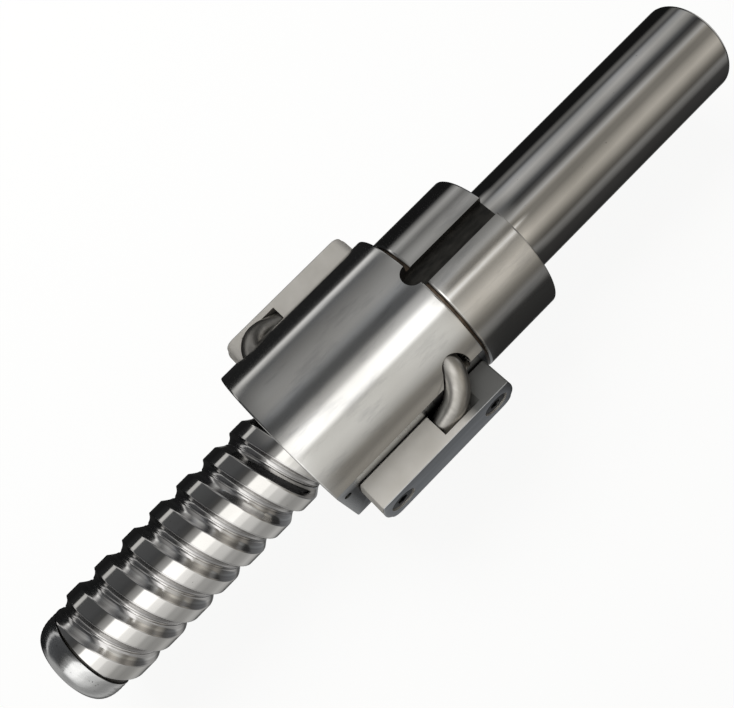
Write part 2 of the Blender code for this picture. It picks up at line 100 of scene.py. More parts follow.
# Makes a mesh object from points and faces of one size, welds doubles and turns the faces outwards.
def meshPiece(name, points, faces):
    mesh = bpy.data.meshes.new(name)
    mesh.from_pydata(points.reshape(-1, 3).tolist(), [], faces.tolist())
    work = bmesh.new()
    work.from_mesh(mesh)
    weld(work, weldGap)
    bmesh.ops.recalc_face_normals(work, faces=work.faces)
    if work.calc_volume(signed=True) < 0:
        bmesh.ops.reverse_faces(work, faces=work.faces)
    work.to_mesh(mesh)
    work.free()
    piece = bpy.data.objects.new(name, mesh)
    bpy.context.scene.collection.objects.link(piece)
    return piece


# A surface of revolution: profile points (x, r) turned about the screw axis. closed=False runs the
# ends to the axis, so that the surface is a closed solid, and closed=True joins the profile's ends.
def turned(name, profile, segments=192, closed=False):
    profile = np.array(profile, float)
    if not closed:
        profile = np.vstack([[profile[0, 0], 0.0], profile, [profile[-1, 0], 0.0]])
    angles = np.linspace(0, 2 * np.pi, segments, endpoint=False)
    points = polarPoints(profile[:, :1], profile[:, 1:], angles[None, :])
    return meshPiece(name, points, gridFaces(len(profile), segments, closeRows=closed))


# Replaces the corners of a profile by arcs: for every inner point, the tangent points lie `radius`
# from it and a quadratic curve joins them.
def roundedProfile(profile, radius, steps=3):
    profile = [np.array(p, float) for p in profile]
    out = [profile[0]]
    for before, corner, after in zip(profile, profile[1:], profile[2:]):
        a = corner + (before - corner) * min(0.5, radius / np.linalg.norm(before - corner))
        b = corner + (after - corner) * min(0.5, radius / np.linalg.norm(after - corner))
        t = np.linspace(0, 1, steps + 1)[:, None]
        out.extend((1 - t) ** 2 * a + 2 * t * (1 - t) * corner + t ** 2 * b)
    out.append(profile[-1])
    return np.array(out)


# Turns points of the front circuit, made at -Y, to their place: side 1 is front, side -1 is rear.
def placed(points, side):
    turn = circuit["turn"] + (math.pi if side < 0 else 0.0)
    c, s = math.cos(turn), math.sin(turn)
    return points @ np.array([[1, 0, 0], [0, c, s], [0, -s, c]])


# Joins rings of points, made for the front circuit, into a closed piece at its side.
def ringPiece(name, rings, side, closeRows=False):
    return meshPiece(name, placed(rings, side), gridFaces(*rings.shape[:2], closeRows=closeRows))


# Flat rings of (x, z) points, each at its own height along y.
def flatRings(levels):
    return np.array([np.stack([ring[:, 0], np.full(len(ring), y), ring[:, 1]], -1) for ring, y in levels])


# A flat outline given a height along y: rings of its middle and its rim at both ends.
def prismRings(outline, low, high):
    outline = np.array(outline, float)
    middle = np.broadcast_to(outline.mean(0), outline.shape)
    return flatRings([(middle, low), (outline, low), (outline, high), (middle, high)])


# Subtracts each cutter from a piece with an exact boolean, applies it and removes the cutters.
def carve(piece, cutters):
    for cutter in cutters:
        modifier = piece.modifiers.new("carve", "BOOLEAN")
        modifier.operation = "DIFFERENCE"
        modifier.solver = "EXACT"
        modifier.object = cutter
    bpy.context.view_layer.update()
    made = bpy.data.meshes.new_from_object(piece.evaluated_get(bpy.context.evaluated_depsgraph_get()))
    piece.modifiers.clear()
    piece.data = made
    for cutter in cutters:
        bpy.data.objects.remove(cutter)
    work = bmesh.new()
    work.from_mesh(made)
    weld(work, carveGap)
    work.to_mesh(made)
    work.free()
    return piece


# Smooth shading with edges sharper than the limit kept crisp.
def shade(piece, limit):
    piece.data.shade_smooth()
    piece.data.set_sharp_from_angle(angle=math.radians(limit))
    return piece


# A round bar between two points: a circle carried along the line between them. No bar runs along x.
def straightBar(name, start, end, radius, side, segments=48):
    start, end = np.array(start, float), np.array(end, float)
    along = (end - start) / np.linalg.norm(end - start)
    across = np.cross(along, [1.0, 0.0, 0.0])
    across /= np.linalg.norm(across)
    other = np.cross(along, across)
    a = np.linspace(0, 2 * np.pi, segments, endpoint=False)[None, :, None]
    radii = np.array([0, radius, radius, 0])[:, None, None]
    middles = np.stack([start, start, end, end])[:, None, :]
    return ringPiece(name, middles + radii * (np.cos(a) * across + np.sin(a) * other), side)


# Rings square to a path: at each point a circle in the plane of two vectors that turn with it.
def ringsAlong(path, radius, segments):
    steps = np.diff(path, axis=0)
    steps /= np.linalg.norm(steps, axis=1, keepdims=True)
    tangents = np.vstack([steps[:1], steps[:-1] + steps[1:], steps[-1:]])
    tangents /= np.linalg.norm(tangents, axis=1, keepdims=True)
    across = np.array([0.0, 0.0, 1.0])
    acrosses = []
    for tangent in tangents:
        across = across - tangent * (across @ tangent)
        across = across / np.linalg.norm(across)
        acrosses.append(across)
    acrosses = np.array(acrosses)
    others = np.cross(tangents, acrosses)
    a = np.linspace(0, 2 * np.pi, segments, endpoint=False)[None, :, None]
    return path[:, None, :] + radius * (np.cos(a) * acrosses[:, None, :] + np.sin(a) * others[:, None, :])


# A point of a leg's middle line at a height above the screw axis. The line touches the ball circle
# where the balls enter, z = ballCircle / cos(lean) - height tan(lean), and tilts along x. The other
# leg is its mirror image in x and z.
def legPoint(height, end=1):
    x = circuit["entryX"] + (height - circuit["entryHeight"]) * math.tan(circuit["legTilt"])
    z = thread["ballCircle"] / math.cos(circuit["legLean"]) - height * math.tan(circuit["legLean"])
    return (x, -height, z) if end > 0 else (2 * circuit["centreX"] - x, -height, -z)


# The return tube's middle line: leg, bend, crossing, bend, leg. A bend is an arc of the given radius
# tangent to the leg and to the crossing, and the second half mirrors the first in x and z.
def tubeLine(startHeight, bendSteps=24):
    start, corner = Vector(legPoint(startHeight)), Vector(legPoint(circuit["crossing"]))
    other = Vector(legPoint(circuit["crossing"], -1))
    up = (corner - start).normalized()
    across = (other - corner).normalized()
    half = up.angle(across) / 2
    centre = corner + (across - up).normalized() * (circuit["bend"] / math.cos(half))
    first = corner - up * (circuit["bend"] * math.tan(half))
    hinge = up.cross(across).normalized()
    points = [start]
    for i in range(bendSteps + 1):
        points.append(centre + Matrix.Rotation(2 * half * i / bendSteps, 3, hinge) @ (first - centre))
    points = np.array([tuple(p) for p in points])
    mirrored = points[::-1] * [-1, 1, -1] + [2 * circuit["centreX"], 0, 0]
    return np.vstack([points, mirrored])


# Radius of a hexagon at each angle: its half width / cos of the angle folded into one sixth.
def hexagonRadii(width, angles):
    return width / 2 / np.cos((angles + math.pi / 6) % (math.pi / 3) - math.pi / 6)


# Gives a piece its material, hides the CAD part that it replaces, and hangs it on its body.
def finishPiece(piece, material, node, body):
    piece.data.materials.clear()
    piece.data.materials.append(material)
    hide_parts(node)
    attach(piece, body)


# Materials
noiseSpan = (0.3, 0.7)  # the values between which most of a noise lies


# Starts a material: its tree, its shader, and the object coordinates in metres.
def newMaterial(name):
    material = bpy.data.materials.new(name)
    material.use_nodes = True
    tree = material.node_tree
    return material, tree, tree.nodes["Principled BSDF"], addNode(tree, "TexCoord", output="Object")


# Noise whose features are about `size` metres, stretched by `stretch` along each axis.
def patternNoise(tree, place, size, stretch=(1, 1, 1), detail=3.0, rough=0.5):
    spot = addNode(tree, "Mapping", {"Vector": place, "Scale": tuple(1 / (size * s) for s in stretch)})
    return addNode(tree, "TexNoise", {"Vector": spot, "Scale": 1.0, "Detail": detail, "Roughness": rough})


# Goes from one colour to another as a value goes through a span, up to a share of `most`. A colour is
# a hex value, linear RGBA or a socket.
def blend(tree, value, span, first, second, most=1.0):
    share = addNode(tree, "MapRange", {"Value": value, "From Min": span[0], "From Max": span[1],
                                       "To Max": most})
    first, second = (linear(colour) if isinstance(colour, str) else colour for colour in (first, second))
    return addNode(tree, "Mix", {0: share, 6: first, 7: second}, output=2, data_type="RGBA")


# Gives a metal its colour, a roughness that follows a value through a span, and perhaps a fine relief.
def dressMetal(tree, shader, colour, value, roughness, span=noiseSpan, relief=None, height=0.0):
    tree.links.new(colour, shader.inputs["Base Color"])
    shader.inputs["Metallic"].default_value = 1.0
    rough = addNode(tree, "MapRange", {"Value": value, "From Min": span[0], "From Max": span[1],
                                       "To Min": roughness[0], "To Max": roughness[1]})
    tree.links.new(rough, shader.inputs["Roughness"])
    if relief is not None:
        bump = addNode(tree, "Bump", {"Height": relief, "Distance": height, "Strength": 1.0})
        tree.links.new(bump, shader.inputs["Normal"])


# Angle about the screw axis, from +Z towards -Y.
def axisAngle(tree, split):
    minusY = addNode(tree, "Math", {0: split["Y"], 1: -1.0}, operation="MULTIPLY")
    return addNode(tree, "Math", {0: minusY, 1: split["Z"]}, operation="ARCTAN2")


# Through-hardened bearing steel, ground between wheels and polished: nearly a mirror on the lands and
# the plain shaft, with faint rings round the axis 0.3 mm apart and slow changes of gloss.
screwFinish = {
    "base": "#d0cecb", "worn": "#bcbab6", "wornSpan": (0.35, 0.7), "roughness": (0.05, 0.10),
    "ringSize": 0.0003, "ringHeight": 0.0000001, "patchSize": 0.012, "pit": "#55524e", "pitSize": 0.0011,
    "pitSpan": (0.74, 0.78), "pitMost": 0.6,
}


def groundScrewSteel():
    f = screwFinish
    material, tree, shader, place = newMaterial("groundScrewSteel")
    patches = patternNoise(tree, place, f["patchSize"], (2.5, 1, 1))
    rings = patternNoise(tree, place, f["ringSize"], (1, 60, 60), 2.0)
    pits = patternNoise(tree, place, f["pitSize"], (1.5, 1, 1), 2.0)
    base = blend(tree, patches, f["wornSpan"], f["base"], f["worn"])
    colour = blend(tree, pits, f["pitSpan"], base, f["pit"], f["pitMost"])
    dressMetal(tree, shader, colour, patches, f["roughness"], relief=rings, height=f["ringHeight"])
    return material


# The ball tracks are form-ground and run in by the balls: faint lines along the helix, greyer than the
# lands, with a clear band where the balls roll, 45 degrees up each side.
trackFinish = {
    "base": "#bdbbb9", "dark": "#adabaa", "darkSpan": (0.35, 0.68), "roll": "#cac9c7",
    "roughness": (0.09, 0.14),
    "lineSize": 0.00045, "lineSlow": 90.0, "lineHeight": 0.0000003, "rollPlace": 0.00165,
    "rollSpan": (0.00018, 0.00030),
}


# Distance along x from the middle of the nearest track: x - lead * angle / 2 pi - phase, wrapped to a
# pitch.
def trackOffset(tree, split):
    perRadian = -thread["lead"] / (2 * math.pi)
    turnedX = addNode(tree, "Math", {0: axisAngle(tree, split), 1: perRadian}, operation="MULTIPLY")
    along = addNode(tree, "Math", {0: split["X"], 1: turnedX}, operation="ADD")
    moved = addNode(tree, "Math", {0: along, 1: thread["phase"]}, operation="SUBTRACT")
    return addNode(tree, "Math", {0: moved, 1: thread["pitch"] / 2, 2: -thread["pitch"] / 2}, operation="WRAP")


def formGroundTrack():
    f = trackFinish
    material, tree, shader, place = newMaterial("formGroundTrack")
    split = addNode(tree, "SeparateXYZ", {"Vector": place}).node.outputs
    across = trackOffset(tree, split)
    spot = {}
    for key, socket, rate in (("X", across, 1 / f["lineSize"]), ("Y", split["Y"], f["lineSlow"]),
                              ("Z", split["Z"], f["lineSlow"])):
        spot[key] = addNode(tree, "Math", {0: socket, 1: rate}, operation="MULTIPLY")
    spot = addNode(tree, "CombineXYZ", spot)
    lines = addNode(tree, "TexNoise", {"Vector": spot, "Scale": 1.0, "Detail": 2.0})
    size = addNode(tree, "Math", {0: across}, operation="ABSOLUTE")
    off = addNode(tree, "Math", {0: size, 1: f["rollPlace"]}, operation="SUBTRACT")
    off = addNode(tree, "Math", {0: off}, operation="ABSOLUTE")
    ground = blend(tree, lines, f["darkSpan"], f["base"], f["dark"])
    colour = blend(tree, off, f["rollSpan"], f["roll"], ground)
    dressMetal(tree, shader, colour, off, f["roughness"], f["rollSpan"], lines, f["lineHeight"])
    return material


# The stub is turned and handled bare: greyer and duller than the ground screw, with small pits.
stubFinish = {
    "base": "#c8c8c7", "dark": "#b2b2b2", "darkSpan": (0.35, 0.7), "roughness": (0.15, 0.21),
    "patchSize": 0.004, "pit": "#2e2e2e", "pitSize": 0.0008, "pitSpan": (0.70, 0.74), "pitMost": 0.85,
}


def turnedStubSteel():
    f = stubFinish
    material, tree, shader, place = newMaterial("turnedStubSteel")
    patches = patternNoise(tree, place, f["patchSize"], (1, 2, 2), 4.0)
    pits = patternNoise(tree, place, f["pitSize"], detail=2.0)
    base = blend(tree, patches, f["darkSpan"], f["base"], f["dark"])
    colour = blend(tree, pits, f["pitSpan"], base, f["pit"], f["pitMost"])
    dressMetal(tree, shader, colour, patches, f["roughness"])
    return material


# Case-hardened alloy steel, turned and ground on its outside: satin with rings round the axis, and
# faint stains where coolant has dried.
nutFinish = {
    "base": "#c6c5c3", "warm": "#b8b6b2", "warmSpan": (0.35, 0.7), "roughness": (0.10, 0.16),
    "ringSize": 0.0004, "ringHeight": 0.0000004, "patchSize": 0.018, "stain": "#9b9b9c", "stainSize": 0.004,
    "stainSpan": (0.52, 0.78), "stainMost": 0.6,
}


def groundNutSteel():
    f = nutFinish
    material, tree, shader, place = newMaterial("groundNutSteel")
    patches = patternNoise(tree, place, f["patchSize"], (2, 1, 1))
    rings = patternNoise(tree, place, f["ringSize"], (1, 50, 50), 2.0)
    stains = patternNoise(tree, place, f["stainSize"], (3.5, 0.8, 0.8), 4.0, 0.6)
    base = blend(tree, patches, f["warmSpan"], f["base"], f["warm"])
    colour = blend(tree, stains, f["stainSpan"], base, f["stain"], f["stainMost"])
    dressMetal(tree, shader, colour, patches, f["roughness"], relief=rings, height=f["ringHeight"])
    return material


# The flats are milled: duller than the ground rounds. Round the clamp's foot a painted shade makes them dark,
# fading by the larger of the distances past the clamp's end and past its side.
flatFinish = {
    "base": "#b4b5b5", "paintedShade": "#1b1a19", "clampMiddle": -0.024, "clampHalf": (0.0236, 0.0071),
    "paintedShadeReach": (0.0012, 0.0048), "markSize": 0.0006, "roughness": (0.26, 0.32),
}


def milledFlatSteel():
    f = flatFinish
    material, tree, shader, place = newMaterial("milledFlatSteel")
    split = addNode(tree, "SeparateXYZ", {"Vector": place}).node.outputs
    moved = addNode(tree, "Math", {0: split["X"], 1: f["clampMiddle"]}, operation="SUBTRACT")
    past = []
    for socket, half in zip((moved, split["Z"]), f["clampHalf"]):
        size = addNode(tree, "Math", {0: socket}, operation="ABSOLUTE")
        past.append(addNode(tree, "Math", {0: size, 1: half}, operation="SUBTRACT"))
    far = addNode(tree, "Math", {0: past[0], 1: past[1]}, operation="MAXIMUM")
    # Painted shade: dark at the clamp's foot, lighter further from the clamp.
    colour = blend(tree, far, f["paintedShadeReach"], f["paintedShade"], f["base"])
    marks = patternNoise(tree, place, f["markSize"], (1, 1, 30))
    dressMetal(tree, shader, colour, marks, f["roughness"])
    return material


# Mild steel block, milled and then bead-blasted: an even warm grey with a fine grain and no mirror,
# half way from metal to a matt surface. A painted shade darkens the upper side of the front clamp
# between its tube and the boss, through the spans along x, z and y.
clampFinish = {
    "base": "#d6d2cb", "dark": "#cbc7bf", "metallic": 0.6, "roughness": (0.46, 0.54), "grain": 0.00022,
    "grainHeight": 0.0000022, "patchSize": 0.008, "paintedShade": "#6c6c6a",
    "paintedShadeSpans": {"X": (-0.0165, -0.0120), "Z": (0.0035, 0.0070), "Y": (0.001, -0.001)},
}


def blastedClampSteel():
    f = clampFinish
    material, tree, shader, place = newMaterial("blastedClampSteel")
    grain = patternNoise(tree, place, f["grain"], detail=2.0)
    patches = patternNoise(tree, place, f["patchSize"])
    blasted = blend(tree, patches, noiseSpan, f["base"], f["dark"])
    split = addNode(tree, "SeparateXYZ", {"Vector": place}).node.outputs
    # Painted shade on the front clamp's upper side, between its tube and the boss.
    paintedShade = 1.0
    for axis, (start, end) in f["paintedShadeSpans"].items():
        part = addNode(tree, "MapRange", {"Value": split[axis], "From Min": start, "From Max": end})
        paintedShade = addNode(tree, "Math", {0: paintedShade, 1: part}, operation="MULTIPLY")
    colour = blend(tree, paintedShade, (0, 1), blasted, f["paintedShade"])
    dressMetal(tree, shader, colour, patches, f["roughness"], relief=grain, height=f["grainHeight"])
    shader.inputs["Metallic"].default_value = f["metallic"]
    return material


# Metals with one pattern, which carries two tones, the roughness and perhaps a relief of `height`.
patternedMetals = {
    # The keyway and the groove before the thread are left as heat treatment made them: nearly black scale.
    "scaledSteel": {"tones": ("#3a3937", "#54524e"), "span": (0.3, 0.75), "roughness": (0.36, 0.48),
                    "size": 0.0012, "stretch": (3, 1, 1), "detail": 4.0, "height": 0.0000020},
    # The relief groove below the nut's shoulder holds old oil, which makes it brown and dull.
    "oiledReliefSteel": {"tones": ("#3b342e", "#6d5f52"), "span": (0.35, 0.7), "roughness": (0.30, 0.45),
                         "size": 0.003, "detail": 4.0},
    # The clamp's outer face is ground flat after blasting: bare steel, darker and shinier than its sides.
    "groundClampFace": {"tones": ("#a9abad", "#9c9ea0"), "span": (0.3, 0.7), "roughness": (0.28, 0.35),
                        "size": 0.0009, "stretch": (12, 1, 1)},
    # Drawn steel tube, bent and tumbled: satin, with faint marks along its length.
    "drawnTubeSteel": {"tones": ("#aaa7a2", "#9f9c96"), "span": (0.35, 0.7), "roughness": (0.31, 0.37),
                       "size": 0.0012, "stretch": (1, 3, 1), "detail": 2.0, "height": 0.0000008},
    # Alloy steel screws with a black oxide finish: blue-black, a little worn to steel in places.
    "blackOxideSteel": {"tones": ("#2b2c2e", "#6a6a68"), "span": (0.5, 0.75), "roughness": (0.32, 0.45),
                        "size": 0.0009, "detail": 4.0, "height": 0.000005},
    # Lapped chrome steel balls: mirror bright, with a trace of oil that varies the gloss.
    "lappedBallSteel": {"tones": ("#e0dfdc", "#cbc9c4"), "span": (0, 1), "roughness": (0.04, 0.09),
                        "size": 0.002},
}


def patternedMetal(name):
    f = patternedMetals[name]
    material, tree, shader, place = newMaterial(name)
    pattern = patternNoise(tree, place, f["size"], f.get("stretch", (1, 1, 1)), f.get("detail", 3.0))
    colour = blend(tree, pattern, f["span"], *f["tones"])
    relief = pattern if "height" in f else None
    dressMetal(tree, shader, colour, pattern, f["roughness"], relief=relief, height=f.get("height", 0.0))
    return material


# Moulded acetal wiper: black with a soft sheen and a fine moulded grain.
acetalFinish = {"tones": ("#1c1c1e", "#2a2a2c"), "roughness": 0.48, "grain": 0.0004, "grainHeight": 0.000008}


def mouldedAcetal():
    f = acetalFinish
    material, tree, shader, place = newMaterial("mouldedAcetal")
    grain = patternNoise(tree, place, f["grain"])
    tree.links.new(blend(tree, grain, (0, 1), *f["tones"]), shader.inputs["Base Color"])
    shader.inputs["Roughness"].default_value = f["roughness"]
    bump = addNode(tree, "Bump", {"Height": grain, "Distance": f["grainHeight"], "Strength": 1.0})
    tree.links.new(bump, shader.inputs["Normal"])
    return material


finishes = {
    "screw": groundScrewSteel(), "track": formGroundTrack(), "stub": turnedStubSteel(),
    "nut": groundNutSteel(), "flat": milledFlatSteel(), "scale": patternedMetal("scaledSteel"),
    "relief": patternedMetal("oiledReliefSteel"), "clamp": blastedClampSteel(),
    "clampFace": patternedMetal("groundClampFace"), "tube": patternedMetal("drawnTubeSteel"),
    "black": patternedMetal("blackOxideSteel"), "ball": patternedMetal("lappedBallSteel"),
    "wiper": mouldedAcetal(),
}
print("materials made")

# Screw. The edge breaks beside a track are points (along x, above the land) in parts of `edge`, and the
# mask values pick the faces of the track and of the relief groove.
screwPiece = {
    "trackRadius": 0.0027, "trackSide": 0.000225, "trackCentre": 0.015425, "edge": 0.00020,
    "rootHalf": 0.0004,
    "rootDepth": 0.00022, "flankFrom": 0.0013, "flankCurve": 48.0, "wideEdge": 0.00293, "insideEdge": 0.6,
    "edgeAfterTrack": ((-0.75, -0.27), (-0.4, -0.06)), "edgeBeforeTrack": ((0.35, -0.06), (0.75, -0.22)),
    "flankSteps": 9, "rootSteps": 7, "landSteps": 17, "ringTwist": 6.0, "startX": -0.1253,
    "startEdge": 0.00012,
    "stub": 0.0132, "stubEndX": -0.1333, "stubRing": 0.0011, "noseLength": 0.0046, "noseDrop": 0.0026,
    "noseShare": 0.96, "relief": 0.01272, "reliefWidth": 0.0012, "reliefCorner": 0.00005,
    "reliefBreak": 0.00008,
    "reliefWall": 0.0001, "startWall": 0.00002, "plainX": 0.0075, "plainRing": 0.0002, "shaftEndX": 0.1087,
    "endRound": 0.0012, "endFaceRing": 0.6, "trackMask": 0.0030, "trackMaskShift": 0.0003,
    "trackMaskRadius": 0.01447, "trackMaskEndX": 0.005, "reliefMaskRadius": 0.0136,
}


# Radius of the ball track at a distance d across it: two arcs that meet in a ridge at the bottom,
# r = centre - sqrt(R^2 - (|d| + side)^2), with a shallow round root cut over the ridge. On the side
# of -X the flank runs on from the balls' contact nearly straight, r = r0 + slope t + curve t^2.
def trackRadius(d):
    p = screwPiece
    arcs = p["trackCentre"] - np.sqrt(np.maximum(p["trackRadius"] ** 2 - (np.abs(d) + p["trackSide"]) ** 2, 0))
    root = p["rootDepth"] * np.sqrt(np.clip(1 - (d / p["rootHalf"]) ** 2, 0, 1))
    reach = p["flankFrom"] + p["trackSide"]
    depth = math.sqrt(p["trackRadius"] ** 2 - reach ** 2)
    t = np.maximum(-d - p["flankFrom"], 0)
    flank = p["trackCentre"] - depth + reach / depth * t + p["flankCurve"] * t * t
    return np.where(d < -p["flankFrom"], flank, arcs - root)


# The strands of one start as (distance along x from the track's middle, radius), from one edge of
# the track over its root, the small edge breaks and the land to the next track.
def threadStrands():
    p = screwPiece
    half = math.sqrt(p["trackRadius"] ** 2 - (p["trackCentre"] - thread["radius"]) ** 2) - p["trackSide"]
    e, root = p["edge"], p["rootHalf"]
    inside = half - e * p["insideEdge"]
    share = np.linspace(0.02, 1, p["flankSteps"]) ** 0.9
    middle = root * np.sin(np.linspace(-1, 1, p["rootSteps"]) * math.pi / 2)
    d = np.concatenate([-(root + (p["wideEdge"] - root) * share)[::-1], middle, root + (inside - root) * share])
    track = np.stack([d / math.cos(leadAngle), trackRadius(d)], -1)
    start = (half + e) / math.cos(leadAngle)
    end = thread["pitch"] - (p["wideEdge"] + e) / math.cos(leadAngle)
    after = [[start + e * along, thread["radius"] + e * above] for along, above in p["edgeAfterTrack"]]
    before = [[end + e * along, thread["radius"] + e * above] for along, above in p["edgeBeforeTrack"]]
    land = np.stack([np.linspace(start, end, p["landSteps"]), np.full(p["landSteps"], thread["radius"])], -1)
    return np.vstack([track, after, land, before])


# The screw before its thread as (x, largest radius, share of the track's depth): the stub, whose nose
# falls off as an ellipse, the relief groove and the edge of the thread.
def screwHeadRings():
    p = screwPiece
    startX, reliefX = p["startX"], p["startX"] - p["reliefWidth"]
    nose = np.linspace(0, 1, 9)
    noseX = p["stubEndX"] + p["noseLength"] * (1 - np.cos(nose * math.pi / 2))
    back = p["noseShare"] * (1 - (noseX - p["stubEndX"]) / p["noseLength"])
    drop = p["noseDrop"] * (1 - np.sqrt(1 - back ** 2))
    return [(x, p["stub"] - fall, 0) for x, fall in zip(noseX, drop)] + [
        (reliefX - p["stubRing"], p["stub"], 0), (reliefX - p["reliefCorner"], p["stub"], 0),
        (reliefX + p["reliefCorner"], p["stub"] - p["reliefBreak"], 0),
        (reliefX + p["reliefWall"], p["relief"], 0), (startX - p["startWall"], p["relief"], 0),
        (startX, thread["radius"] - p["startEdge"], 1), (startX + p["startEdge"], thread["radius"], 1)]


# The screw's skin: rings at steps of x, whose points follow the helix
# a = 2 pi (x - phase - along) / lead, so every edge of the thread is a clean line. The track fades out
# over the run-out, and the plain shaft carries the last ring's points on along x.
def makeScrew():
    p = screwPiece
    strands = threadStrands()
    head = np.array(screwHeadRings())
    step = thread["lead"] * p["ringTwist"] / 360
    count = int(round((thread["endX"] - p["startX"]) / step))
    body = np.linspace(p["startX"] + p["startEdge"], thread["endX"], count + 1)[1:]
    x = np.concatenate([head[:, 0], body])
    limit = np.concatenate([head[:, 1], np.full(count, thread["radius"])])
    cut = np.concatenate([head[:, 2], np.ones(count)])
    depth = np.clip((thread["endX"] - x) / thread["runOut"], 0, 1)
    depth = depth * depth * (3 - 2 * depth) * cut
    rings = []
    for start in range(2):
        along = strands[None, :, 0] + start * thread["pitch"]
        angle = 2 * np.pi * (x[:, None] - thread["phase"] - along) / thread["lead"]
        radius = thread["radius"] + (strands[None, :, 1] - thread["radius"]) * depth[:, None]
        rings.append(polarPoints(x[:, None], np.minimum(radius, limit[:, None]), angle))
    threadPart = np.concatenate(rings, 1)
    endX, r = p["shaftEndX"], p["endRound"]
    t = np.linspace(0, math.pi / 2, 7)
    plainX = np.concatenate([[p["plainX"], endX - r - p["plainRing"]], endX - r * (1 - np.sin(t)),
                             [endX, endX]])
    scale = np.concatenate([[1, 1], 1 - r * (1 - np.cos(t)) / thread["radius"], [p["endFaceRing"], 0.0]])
    plain = np.stack([threadPart[-1] * [0, s, s] + [px, 0, 0] for px, s in zip(plainX, scale)])
    points = np.concatenate([threadPart[:1] * [1, 0, 0], threadPart, plain], 0)
    return meshPiece("screw", points, gridFaces(*points.shape[:2]))


# Reads a value of every element of a mesh into an array.
def readValues(elements, key, width=1, kind=float):
    values = np.zeros(len(elements) * width, kind)
    elements.foreach_get(key, values)
    return values.reshape(-1, width) if width > 1 else values


# Centres and normals of a piece's faces, with the centres' distance from the screw axis.
def faceTable(piece):
    centres = readValues(piece.data.polygons, "center", 3)
    return centres, readValues(piece.data.polygons, "normal", 3), np.hypot(centres[:, 1], centres[:, 2])


# Adds a further material to the faces that a mask picks out.
def giveFaces(piece, material, mask):
    piece.data.materials.append(material)
    numbers = readValues(piece.data.polygons, "material_index", kind=int)
    numbers[mask] = len(piece.data.materials) - 1
    piece.data.polygons.foreach_set("material_index", numbers)


screw = shade(makeScrew(), 25)
finishPiece(screw, finishes["screw"], "screw_shaft", "screw")
p = screwPiece
centres, normals, distances = faceTable(screw)
faceX = centres[:, 0]
offset = faceX - thread["phase"] - thread["lead"] * np.arctan2(-centres[:, 1], centres[:, 2]) / (2 * np.pi)
offset = (offset + thread["pitch"] / 2) % thread["pitch"] - thread["pitch"] / 2
inTrack = (np.abs(offset + p["trackMaskShift"]) < p["trackMask"]) & (distances < p["trackMaskRadius"])
giveFaces(screw, finishes["track"], inTrack & (faceX > p["startX"]) & (faceX < p["trackMaskEndX"]))
giveFaces(screw, finishes["stub"], faceX < p["startX"] - p["reliefWidth"])
inRelief = (faceX > p["startX"] - p["reliefWidth"]) & (distances < p["reliefMaskRadius"])
giveFaces(screw, finishes["scale"], inRelief & (faceX < p["startX"]))
print("screw made:", len(screw.data.polygons), "faces")

# Nut. The mask values pick the faces of the flats, the keyway and the relief groove.
nutPiece = {
    "length": 0.053, "radius": 0.0265, "boss": 0.0231, "bossLength": 0.0272, "endEdge": 0.0005,
    "faceRing": 0.9,
    "reliefWidth": 0.0014, "reliefDepth": 0.0005, "reliefSlope": 0.0003, "bore": 0.0151, "seatRadius": 0.0188,
    "seatDepth": 0.005, "trackRadius": 0.0027, "trackShare": 0.97, "trackSteps": 15, "landSteps": 6,
    "threadEndX": -0.001, "threadSteps": 140, "threadFade": (0.001, 0.003), "keyWidth": 0.00635,
    "keyDepth": 0.003, "keyEndX": -0.00015, "keyTop": 0.002, "holeRadius": 0.00400125, "holeSink": 0.0002,
    "holeReach": 0.004, "passageSink": 0.0004, "bendGap": 0.00035, "tapX": (-0.0413, -0.0067),
    "tapRadius": 0.00215, "tapGrip": 0.0045, "setAngle": math.radians(73.6), "setX": -0.0505,
    "setSink": 0.0002,
    "setRadius": 0.00115, "flatMask": (2e-5, 0.999), "keyMask": (0.0032, 0.0199, -0.0036, 0.0264),
    "keyMaskNormals": (0.9999, 0.05), "reliefMask": (0.0016, 0.0227, 0.0003), "roundMask": (2e-5, 0.998),
}


# The nut's thread as a solid to cut away: rings at steps of x, with a round track about the balls.
def nutThreadCutter():
    p = nutPiece
    a = np.linspace(-1, 1, p["trackSteps"]) * math.pi / 2 * p["trackShare"]
    track = np.stack([p["trackRadius"] * np.sin(a) / math.cos(leadAngle),
                      thread["ballCircle"] + p["trackRadius"] * np.cos(a)], -1)
    half = p["trackRadius"] / math.cos(leadAngle)
    land = np.linspace(half, thread["pitch"] - half, p["landSteps"])
    strands = np.vstack([track, np.stack([land, np.full(len(land), p["bore"])], -1)])
    low, high = -p["length"] + p["seatDepth"] - overcut, p["threadEndX"]
    x = np.linspace(low, high, p["threadSteps"])
    gap, fade = p["threadFade"]
    depth = np.clip((high - gap - x) / fade, 0, 1)
    rings = []
    for start in range(2):
        along = x[:, None] - thread["phase"] - strands[None, :, 0] - start * thread["pitch"]
        radius = p["bore"] + (strands[None, :, 1] - p["bore"]) * depth[:, None]
        rings.append(polarPoints(x[:, None], radius, 2 * np.pi * along / thread["lead"]))
    body = np.concatenate(rings, 1)
    far = body[-1] + [p["bossLength"] - p["seatDepth"] + overcut - high, 0, 0]
    points = np.concatenate([body[:1] * [1, 0, 0], body, far[None], far[None] * [1, 0, 0]], 0)
    return meshPiece("cutThread", points, gridFaces(*points.shape[:2]))


# The keyway, with a half-round end, as a prism cut down from above: its rings' y and z change places.
def keywayCutter():
    p = nutPiece
    a = np.linspace(math.pi / 2, 3 * math.pi / 2, 33)
    half, endX = p["keyWidth"] / 2, p["bossLength"] + overcut
    outline = np.vstack([[[endX, -half], [endX, half]],
                         np.stack([p["keyEndX"] + half * np.cos(a), half * np.sin(a)], -1)])
    points = prismRings(outline, p["boss"] - p["keyDepth"], p["radius"] + p["keyTop"])[..., [0, 2, 1]]
    return meshPiece("cutKeyway", points, gridFaces(*points.shape[:2]))


